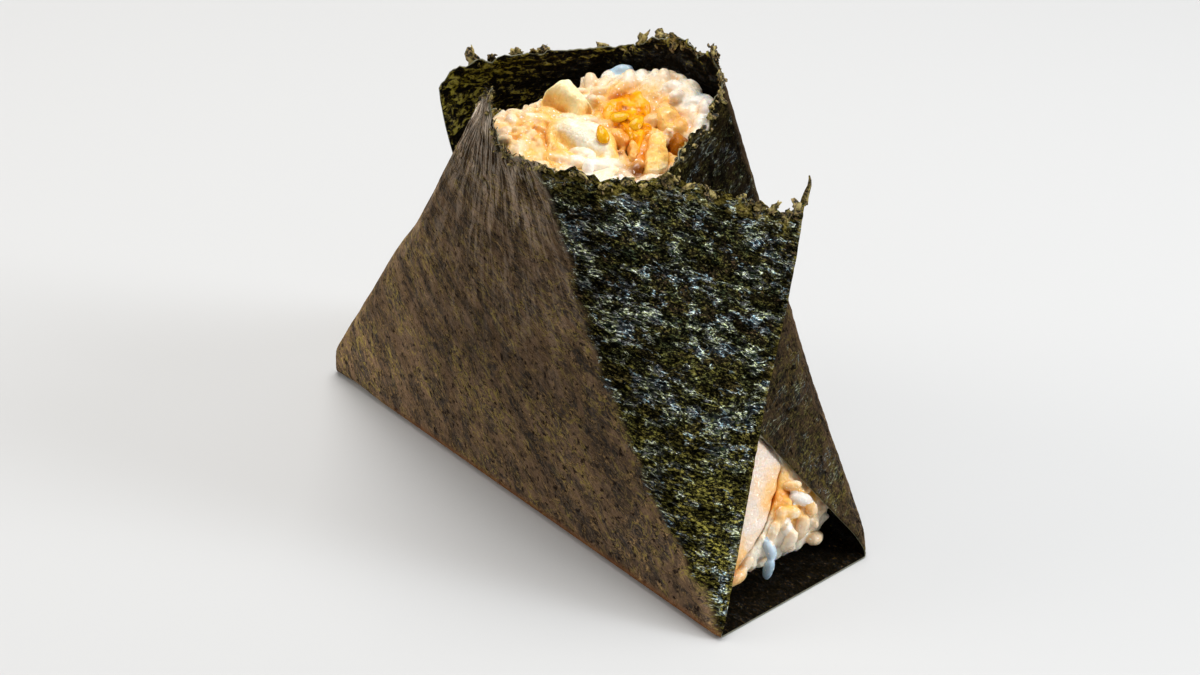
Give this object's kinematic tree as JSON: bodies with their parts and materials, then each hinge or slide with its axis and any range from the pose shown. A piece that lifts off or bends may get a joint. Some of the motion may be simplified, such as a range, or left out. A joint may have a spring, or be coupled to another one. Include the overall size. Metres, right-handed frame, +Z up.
{
  "type": "rice ball with chicken in seaweed",
  "caption": "Bitten triangular rice ball with chicken in glaze, wrapped in one folded sheet of seaweed whose flaps cross on the slanted sides, standing upright on its long base.",
  "frame": {"origin": "under the middle of the base panel, on the surface it stands on", "axes": "+X along the long base towards the end whose hole shows the chicken slice, +Y from the plain front panel to the back panel, +Z up towards the bitten corner"},
  "size_m": [0.0967, 0.0428, 0.0721],
  "materials": {
    "nori": "roasted seaweed, matte brown-black on the plain front, crisp and glossy dark green on the flaps",
    "cooked_rice": "moist cooked rice, stained cream and orange by the sauce near the filling",
    "cooked_chicken": "moist pale cooked chicken with fine fibres",
    "glazed_chicken": "chicken under a wet dark brown glaze"
  },
  "bodies": {
    "root": {"nori_wrap": "nori", "rice_block": "cooked_rice", "chicken_slab": "cooked_chicken", "chicken_chunk": "cooked_chicken", "chicken_strip": "cooked_chicken", "chicken_lump": "cooked_chicken", "chicken_small": "cooked_chicken", "chicken_side": "cooked_chicken", "chicken_glazed": "glazed_chicken"}
  },
  "joints": []
}
